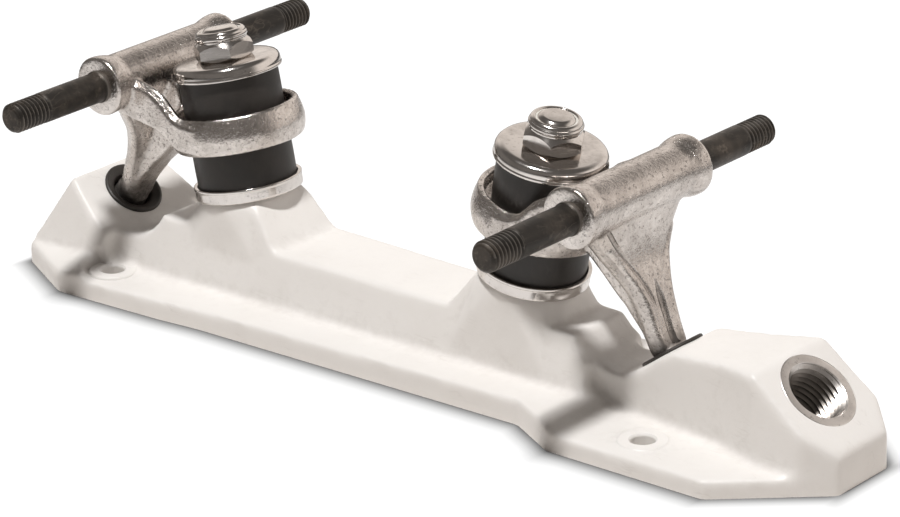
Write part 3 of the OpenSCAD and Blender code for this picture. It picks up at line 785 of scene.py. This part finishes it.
stackLook = {"cupTop": 65.0, "cupR": 14.4, "cupH": 3.7, "sheet": 1.1, "boreR": 4.9, "rimOut": 0.15,
             "rimFrom": 0.9, "rimTo": 0.7, "bottomEase": 0.7, "topEase": 2.3}
kingpinLook = {"r": 4.75, "headBase": 1.9, "end": 73.4, "tip": 0.9, "dome": 0.12, "headTurn": 30}
# hex bars: corner radius, and the turned body that rounds their corners
hexLook = {"r": 8.256, "topR": 6.35, "footR": 6.75, "bodyR": 8.4}
# the nut's collar as (radius, height over the nut's foot, easing)
nutLook = {"hexH": 5.2, "height": 7.8, "fit": 0.03, "turn": {"front": 3, "rear": 26},
           "collar": [(0, 3, 0), (6.6, 3, 0), (6.6, 5.35, 0.15), (6.95, 5.75, 0.3), (6.95, 6.45, 0.25),
                      (6.6, 6.75, 0.15), (6.6, 7.1, 0.2), (6.1, 7.8, 0.55), (5.35, 7.8, 0.2), (5.2, 7.35, 0),
                      (0, 7.35, 0)],
           "lockR": 5.88, "lockLow": 2.22, "lockHigh": 0.42, "lipR": 5.05}
cushionLook = {"r": 13.05, "swell": 0.12, "holeGap": 0.4, "holeEase": 0.4, "rimEase": 0.8, "rows": 8}
# the pivot cup's outside with easings, from its floor up, and its socket from the bottom up
pivotCupLook = {"outside": [(0, -11, 0), (7.6, -11, 0.6), (7.6, -0.02, 0), (8.2, 0.0, 0.15), (8.2, 0.62, 0.3),
                            (7.5, 0.9, 0.35)],
                "socket": [(0, -8.6), (2.9, -7.75), (4.4, -6.1), (5.0, -3.9), (5.05, -2.2), (5.3, -0.5), (5.7, 0.0),
                           (6.6, 0.35)]}


def chamferedHex(name, end, low, high, turnDegrees, topEase=2.1, lowEase=1.2):
    # hex bar met by a turned body, which leaves the arcs on its corners
    look = hexLook
    turned = onKingpin() @ Matrix.Rotation(math.radians(turnDegrees + 30), 4, "Z")
    obj = barPiece(name, turned, look["r"], low, high, 6, end=end, sharpAngle=25)
    body = [(0, low), (look["footR"], low), (look["bodyR"], low + lowEase), (look["bodyR"], high - topEase),
            (look["topR"], high), (0, high)]
    return combine(obj, turnedPiece(name + "Turned", body, onKingpin(), end), "INTERSECT")


def buildKingpin(end):
    look, r, tip, top = kingpinLook, kingpinLook["r"], kingpinLook["tip"], kingpinLook["end"]
    name, headTop = end + "Kingpin", kingpinLine["headTop"]
    obj = chamferedHex(name, end, look["headBase"], headTop, look["headTurn"], 0.3, 0.9)
    shank = softProfile([(0, headTop - 1, 0), (r, headTop - 1, 0), (r, top - tip, 0.25),
                         (r - tip, top - look["dome"], 0.5), (0, top, 0)])
    combine(obj, turnedPiece(name + "Shank", shank, onKingpin(), end), "UNION")
    softShade(obj, 30)
    handOver(obj, zincPlate, "plate", "zinc_steel", end + "_kingpin")


def buildNut(end):
    look, name, low = nutLook, end + "KingpinNut", stackLook["cupTop"]
    top = low + look["height"]
    obj = chamferedHex(name, end, low, low + look["hexH"], look["turn"][end])
    collar = softProfile([(r, low + z, ease) for r, z, ease in look["collar"]])
    combine(obj, turnedPiece(name + "Collar", collar, onKingpin(), end), "UNION")
    # bore with the seat of the locking ring
    bore, lockR, lipR = kingpinLook["r"] + look["fit"], look["lockR"], look["lipR"]
    lockLow, lockHigh = top - look["lockLow"], top - look["lockHigh"]
    inside = [(0, low - 1), (bore, low - 1), (bore, lockLow), (lockR, lockLow), (lockR, lockHigh),
              (lipR, lockHigh), (lipR, top + 1), (0, top + 1)]
    combine(obj, turnedPiece(name + "Bore", inside, onKingpin(), end))
    softShade(obj, 28)
    handOver(obj, zincPlate, "plate", "zinc_steel", end + "_kingpin_nut")


def buildCup(end, level, place):
    # pressed sheet, floor at zero, wall upwards from its shoulder and a small turned-out rim
    look = stackLook
    r, h, t, bore = look["cupR"], look["cupH"], look["sheet"], look["boreR"]
    wall = r - look["rimOut"]
    profile = softProfile([(bore, 0, 0.2), (wall, 0, look[level.lower() + "Ease"]), (wall, h - look["rimFrom"], 0.2),
                           (r, h - look["rimTo"], 0.2), (r, h, 0.3), (r - t, h, 0.3), (r - t, t, 0.5), (bore, t, 0.2)])
    obj = turnedPiece(f"{end}{level}Cup", profile, place, end, 128, 30)
    handOver(obj, zincPlate, "plate", "zinc_steel", f"{end}_{level.lower()}_cup")


def buildCushion(end, level, fixed, moving):
    # a bush that swells a little at its middle, held by the plate at one end and by the truck at the other
    look, r, hole = cushionLook, cushionLook["r"], kingpinLook["r"] + cushionLook["holeGap"]
    low, high = min(fixed, moving), max(fixed, moving)
    corners = [(hole, low, look["holeEase"]), (r, low, look["rimEase"])]
    for k in range(1, look["rows"]):
        t = k / look["rows"]
        corners.append((r + look["swell"] * math.sin(math.pi * t), low + (high - low) * t, 0))
    corners += [(r, high, look["rimEase"]), (hole, high, look["holeEase"])]
    obj = turnedPiece(f"{end}{level}Cushion", softProfile(corners), onKingpin(), end, sharpAngle=40)
    handOver(obj, cushionRubber, None, "black_rubber", f"{end}_{level.lower()}_cushion")
    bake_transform(obj)


def buildPivotCup(end):
    # moulded socket with a rolled rim on the ramp
    corners = pivotCupLook["outside"] + [(r, z, 0) for r, z in reversed(pivotCupLook["socket"])]
    obj = turnedPiece(end + "PivotCup", softProfile(corners), onPivot, end, sharpAngle=35)
    handOver(obj, cupNylon, "plate", "black_nylon", end + "_pivot_cup")


for end in ends:
    seat, cupTop, sheet = kingpinLine["seat"], stackLook["cupTop"], stackLook["sheet"]
    buildKingpin(end)
    buildNut(end)
    buildCup(end, "Bottom", onKingpin(seat))
    buildCup(end, "Top", onKingpin(cupTop) @ upsideDown)
    buildCushion(end, "Lower", seat + sheet, kingpinLine["ringLow"])
    buildCushion(end, "Upper", cupTop - sheet, kingpinLine["ringHigh"])
    buildPivotCup(end)
    dress(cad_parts[end + "_nut_locking_ring"], lockNylon)
print("kingpin stacks and pivot cups in place")


# Axles: blackened bar with rolled threads at both tips

axleLook = {"half": 55.0, "runR": 4.0, "pressR": 4.3, "pressHalf": 24.1, "threadFrom": 44.2, "runOut": 0.7,
            "majorR": 3.95, "minorR": 3.25, "pitch": 1.27, "tip": 1.0, "tipR": 3.98}


def buildAxle(end):
    look, name = axleLook, end + "Axle"
    half, run, press, tip, tipR = (look[key] for key in ("half", "runR", "pressR", "tip", "tipR"))
    start, edge, core = look["threadFrom"], look["pressHalf"], look["threadFrom"] + look["runOut"]
    side = [(press, edge, 0.2), (run, edge + 0.35, 0.1), (run, edge + 1.2, 0), (run, start - 1.0, 0),
            (run, start, 0.25), (look["minorR"], core, 0)]
    corners = [(0, -core, 0)] + [(r, -z, ease) for r, z, ease in reversed(side)] + side + [(0, core, 0)]
    obj = turnedPiece(name, softProfile(corners, 3), onAxle, end, 64, 30)
    point = softProfile([(0, start - 2, 0), (tipR, start - 2, 0), (tipR, half - tip, 0.3), (run - tip, half, 0.35),
                         (0, half, 0)])
    for place in (onAxle @ upsideDown, onAxle):
        stub = threadPiece(name + "Thread", place, look, start - 0.6, half, end, 64)
        combine(stub, turnedPiece(name + "Tip", point, place, end, 64), "INTERSECT")
        combine(obj, stub, "UNION")
    softShade(obj, 30)
    storeRelief(obj, 3, 0.25)
    handOver(obj, blackenedSteel, truckBody[end], "blackened_steel", end + "_axle")


for end in ends:
    buildAxle(end)
print("axles threaded")


# Hangers: a soft casting with a crisper ring, beads and ribs, made once and turned round for the rear

hangerLook = {"coarse": 0.6, "coarseTurns": 9, "fine": 0.4, "fineTurns": 8, "keep": 0.6,
              "tubeR": 6.9, "collarR": 7.75, "tubeHalf": 23.5, "boreR": 4.32,
              "ringR": 18.0, "ringBore": 15.2, "ringMid": 46.9, "ringHalf": 4.5, "ringSpare": 0.6, "seatHole": 6.8,
              "armIn": 14.7, "armOut": 18.0, "gussetHalf": 4.1, "webSquare": 0.6, "webLean": 24,
              "beadR": 1.0, "beadY": 16.0, "ballR": 4.9, "ballAt": -3.6}
# arm outline in x and z, along its top and back along its foot
armTop = [(50, 50.2), (54.1, 50.1), (57.4, 50.6), (60, 52.6), (62.5, 54.9), (65.1, 56.4), (67.7, 57.2), (71, 57.7),
          (77, 57.7)]
armFoot = [(79.5, 49.5), (72, 47.8), (67, 47.2), (63.7, 46.5), (61.8, 45.6), (59.8, 44.4), (58.3, 43.1), (56, 42.0),
           (49, 42.4)]
# web stations: x, z, half width, half thickness
webLine = [(78.6, 57.5, 18.0, 5.4), (78.8, 51.5, 17.6, 4.6), (79.6, 45.5, 13.6, 3.7), (81.2, 40.5, 10.2, 3.1),
           (83.4, 36.0, 7.8, 2.8), (85.5, 31.5, 6.2, 2.6), (87.4, 27.0, 5.7, 2.4), (88.8, 23.0, 5.5, 2.5),
           (89.8, 20.4, 5.2, 2.8), (90.7, 18.1, 4.5, 2.9)]
gussetOutline = [(63.5, 49.5), (65.5, 42), (69, 38.8), (73, 35.2), (76.6, 31.6), (79.5, 29.0), (82.1, 26.2),
                 (84.7, 23.2), (86.6, 20.8), (90, 22), (86.5, 33), (82, 45), (78, 56), (71, 56)]
# what follows the web's outer face: distance in from its edge, height over it, half width and half thickness
webRib = {"inset": 1.7, "proud": -0.75, "size": (1.3, 1.2)}
edgeGroove = {"inset": 3.3, "proud": 0.35, "size": (0.75, 0.6), "fade": (0.1, 0.1)}
stemGroove = {"proud": 0.3, "size": (1.35, 0.95), "fade": (0.2, 0.2)}


def webFace(x, z, w, t, y, proud):
    # a point over the web's outer face at a given distance from its middle
    lean, square = math.radians(hangerLook["webLean"]), hangerLook["webSquare"]
    out = t * (1 - min(abs(y) / w, 0.98) ** (2 / square)) ** (square / 2) + proud
    return (x + out * math.cos(lean), y, z + out * math.sin(lean))


def alongWeb(stations, look, towards):
    # stations of a rib or groove, at the middle of the face or by one of its edges
    return [(*webFace(x, z, w, t, towards * (w - look["inset"]) if towards else 0, look["proud"]), *look["size"])
            for x, z, w, t in stations]


def ringBoreTool():
    # the space that the cushions and the top cup take out of the casting
    r = hangerLook["ringBore"] + hangerLook["ringSpare"]
    return turnedPiece("ringBore", [(0, 25), (r, 25), (r, 80), (0, 80)], onKingpin())


def joined(name, parts):
    bm = bmesh.new()
    for part in parts:
        bm.from_mesh(part.data)
        bpy.data.objects.remove(part)
    return newObject(name, bm)


def hangerBody():
    look, parts = hangerLook, []
    bm = bmesh.new()
    loftInto(bm, [(x, 0, z, w, t) for x, z, w, t in webLine], look["webSquare"], 32, 5)
    parts.append(placed("webRough", bm))
    spans = [(gussetOutline, (-look["gussetHalf"], look["gussetHalf"]))]
    spans += [(armTop + armFoot, sorted((side * look["armIn"], side * look["armOut"]))) for side in bothSides]
    for outline, (low, high) in spans:
        bm = bmesh.new()
        prismInto(bm, outline, low, high)
        parts.append(placed("armRough", bm))
    for part in parts:
        combine(part, ringBoreTool())
    parts.append(barPiece("tubeRough", onAxle, look["tubeR"], -look["tubeHalf"] + 1, look["tubeHalf"] - 1, 64))
    return joined("frontHanger", parts)


def ringInto(bm):
    # band round the cushions with the seat between them, and a bead on its upper edge
    look, seatLow, seatHigh = hangerLook, kingpinLine["ringLow"], kingpinLine["ringHigh"]
    r, bore, hole, beadR = (look[key] for key in ("ringR", "ringBore", "seatHole", "beadR"))
    mid, low, high = look["ringMid"], look["ringMid"] - look["ringHalf"], look["ringMid"] + look["ringHalf"]
    band = softProfile([(bore, low + 0.3, 0.4), (bore + 1.5, low - 0.1, 0.7), (r - 0.5, low + 1.6, 0.9), (r, mid, 1.2),
                        (r - 0.5, high - 1.8, 0.9), (bore + 1.7, high + 0.1, 0.7), (bore, high, 0.4),
                        (bore, seatHigh, 0), (hole, seatHigh, 0.3), (hole, seatLow, 0.3), (bore, seatLow, 0)])
    spinInto(bm, band, onKingpin())
    bead = [(bore + 0.75 + beadR * math.cos(a), high + 0.05 + beadR * math.sin(a))
            for a in [k * math.pi / 6 for k in range(12)]]
    spinInto(bm, bead, onKingpin())


def hangerDetail():
    look, beadR = hangerLook, hangerLook["beadR"]
    bm = bmesh.new()
    ringInto(bm)
    for side in bothSides:
        loftInto(bm, [(x, side * look["beadY"], z, beadR, beadR) for x, z in armTop])
        # low ribs down both edges of the web's outer face
        loftInto(bm, alongWeb(webLine[2:], webRib, side), around=16)
    # swollen tube ends with flat faces
    half, collar, tube = look["tubeHalf"], look["collarR"], look["tubeR"]
    tubeEnd = softProfile([(0, half - 9, 0), (tube - 0.3, half - 9, 0), (tube, half - 6.0, 1.6),
                           (collar, half - 3.2, 1.6), (collar + 0.15, half, 0.7), (0, half, 0)])
    for place in (onAxle, onAxle @ upsideDown):
        spinInto(bm, tubeEnd, place)
    # stem and ball in the pivot cup
    r, at = look["ballR"], look["ballAt"]
    ball = [(0, at - r)] + [(r * math.sin(a), at - r * math.cos(a)) for a in [k * 0.2 for k in range(1, 13)]]
    spinInto(bm, ball + [(4.65, -0.6), (4.4, 0.4), (3.2, 1.5), (0, 1.5)], onPivot, 64)
    return placed("hangerDetail", bm)


def webGrooves():
    # a thin groove inside one rib and a wider one down the middle of the stem
    bm = bmesh.new()
    line = alongWeb(webLine[1:7], edgeGroove, -1)
    line[-1] = (*line[-1][:3], *edgeGroove["fade"])
    loftInto(bm, line)
    middle = alongWeb(webLine[4:], stemGroove, 0)
    middle[0] = (*middle[0][:3], *stemGroove["fade"])
    loftInto(bm, middle, around=16)
    return placed("webGrooves", bm)


def buildHangers():
    body = remesh(hangerBody(), hangerLook["coarse"])
    relax(body, hangerLook["coarseTurns"])
    obj = joined("frontHanger", [body, hangerDetail()])
    remesh(obj, hangerLook["fine"])
    relax(obj, hangerLook["fineTurns"])
    thin(obj, hangerLook["keep"])
    combine(obj, barPiece("axleBore", onAxle, hangerLook["boreR"], -30, 30, 64))
    combine(obj, webGrooves())
    softShade(obj, 45)
    storeRelief(obj, 10, 0.3)
    print("hanger", len(obj.data.polygons), "faces")
    rear = copyToRear(obj, "rearHanger")
    handOver(obj, castAluminium, "front_truck", "cast_aluminium", "front_hanger")
    handOver(rear, castAluminium, "rear_truck", "cast_aluminium", "rear_hanger")


buildHangers()
print("hangers cast")


# Floor, light and camera

floorLook = {"size": 8.0, "paper": (0.1, 0.1, 0.1), "bounce": (0.763, 0.726, 0.694), "rough": 0.9,
             # brightness of the table in mirrored views, near and far, and where it falls off
             "mirrored": (0.85, 0.12), "tableEdge": (0.2, 0.5),
             # the sole's length and a width to share out, how fast the shade ends past toe and heel
             "length": 0.2592, "width": 0.04, "endFalls": ((1, 1.6), (-1, 3.0)), "cornerEase": 0.006}
# the sole's outline, as shares of the length from heel to toe and of the width from its middle line
soleOutline = [(0.0, 0.525), (0.0864, 0.8), (0.216, 0.75), (0.2716, 0.712), (0.6698, 0.613), (0.73, 0.8),
               (0.906, 0.775), (1.0, 0.255)]
# how far the paper's glow has lightened at each distance from the sole, in millimetres, which paints its contact
# shadow
paperStops = [(-2, 0.02), (0, 0.05), (0.5, 0.17), (2, 0.4), (4, 0.68), (6, 0.87), (8.5, 1.0)]
lampLook = {"at": (0.063, -0.40, 1.5), "size": 0.18, "power": 21.8, "colour": (1.0, 0.988, 0.978)}
skyLook = {"warm": (1.0, 0.92, 0.855, 1), "dim": 0.175, "bright": 0.9, "brightSide": (0.0, 1.0, 0.0),
           "sideSpan": (0.06, 0.5), "above": 0.11, "aboveSpan": (0.5, 0.78)}
photoView = {"lens": 161.18, "azimuth": 40.982, "elevation": 21.759, "roll": -1.367, "far": 1.00477,
             "aim": (0.009383, -0.007932, 0.030), "sensor": 36}


def gradedBy(value, stops):
    ramp = addNode(value.id_data, "ShaderNodeValToRGB", {"Fac": value})
    marks = ramp.color_ramp.elements
    marks.remove(marks[0])
    for i, (at, level) in enumerate(stops):
        mark = marks[0] if i == 0 else marks.new(at)
        mark.position = at
        mark.color = (level, level, level, 1)
    return ramp.outputs["Color"]


def paperShade(coords):
    # painted contact shadow: the paper glows to white away from the sole and stays dark next to it
    look, place = floorLook, split(coords)
    share = maths("MULTIPLY_ADD", place["X"], 1 / look["length"], 0.5)
    wide = scaled(gradedBy(share, soleOutline), look["width"])
    beside = maths("SUBTRACT", maths("ABSOLUTE", place["Y"]), wide)
    toe, heel = (scaled(summed(scaled(place["X"], way), -look["length"] / 2), fall)
                 for way, fall in look["endFalls"])
    nearest = maths("SMOOTH_MAX", maths("MAXIMUM", toe, heel), beside, look["cornerEase"])
    low, high = paperStops[0][0], paperStops[-1][0]
    span = ranged(nearest, low * mm, high * mm)
    return gradedBy(span, [((at - low) / (high - low), level) for at, level in paperStops])


def buildFloor():
    look = floorLook
    bm = bmesh.new()
    bmesh.ops.create_grid(bm, x_segments=2, y_segments=2, size=look["size"] / 2)
    floor = finishMesh("floor", bm)
    material, shader, coords = startMaterial("paleFloor")
    path = addNode(material.node_tree, "ShaderNodeLightPath").outputs
    reach = vectorMaths("LENGTH", coords)["Value"]
    table = ranged(reach, *look["tableEdge"], *look["mirrored"], kind="SMOOTHSTEP")
    bounce = mixColour(path["Is Glossy Ray"], look["bounce"], table)
    # the camera sees dark paper with a glow that brightens away from the sole, a painted contact shadow; reflections
    # and bounced light see colours of their own
    colour = mixColour(path["Is Camera Ray"], bounce, look["paper"])
    glow = mixColour(path["Is Camera Ray"], (0, 0, 0), paperShade(coords))
    feedAll(shader, {"Base Color": colour, "Emission Color": glow, "Emission Strength": 1.0,
                     "Roughness": look["rough"], "Specular IOR Level": 0.0})
    dress(floor, material)


def buildLamp():
    place = Vector(lampLook["at"])
    data = bpy.data.lights.new("key", "AREA")
    data.shape = "DISK"
    data.size = lampLook["size"]
    data.energy = lampLook["power"]
    data.color = lampLook["colour"]
    aimed = place.to_track_quat("Z", "Y").to_matrix().to_4x4()
    linked("key", data).matrix_world = Matrix.Translation(place) @ aimed


def buildSky():
    # one bright side, one dim side and a dim ceiling round the lamp
    look = skyLook
    world = bpy.data.worlds.new("studio")
    world.use_nodes = True
    scene.world = world
    tree = world.node_tree
    where = addNode(tree, "ShaderNodeTexCoord").outputs["Generated"]
    facing = vectorMaths("DOT_PRODUCT", where, look["brightSide"])["Value"]
    side = ranged(facing, *look["sideSpan"], look["dim"], look["bright"], "SMOOTHSTEP")
    level = ranged(split(where)["Z"], *look["aboveSpan"], side, look["above"], "SMOOTHSTEP")
    feedAll(tree.nodes["Background"].inputs, {"Strength": level, "Color": look["warm"]})


def buildCamera():
    azimuth, elevation, roll = (math.radians(photoView[key]) for key in ("azimuth", "elevation", "roll"))
    turn = Matrix.Rotation(azimuth, 4, "Z") @ Matrix.Rotation(math.pi / 2 - elevation, 4, "X")
    away = Matrix.Rotation(roll, 4, "Z") @ Matrix.Translation((0, 0, photoView["far"]))
    data = bpy.data.cameras.new("photoCamera")
    data.lens = photoView["lens"]
    data.sensor_width = photoView["sensor"]
    data.sensor_fit = "HORIZONTAL"
    scene.camera = linked("photoCamera", data)
    scene.camera.matrix_world = Matrix.Translation(photoView["aim"]) @ turn @ away


buildFloor()
buildLamp()
buildSky()
buildCamera()
scene.view_settings.view_transform = "Standard"
print("stage set")
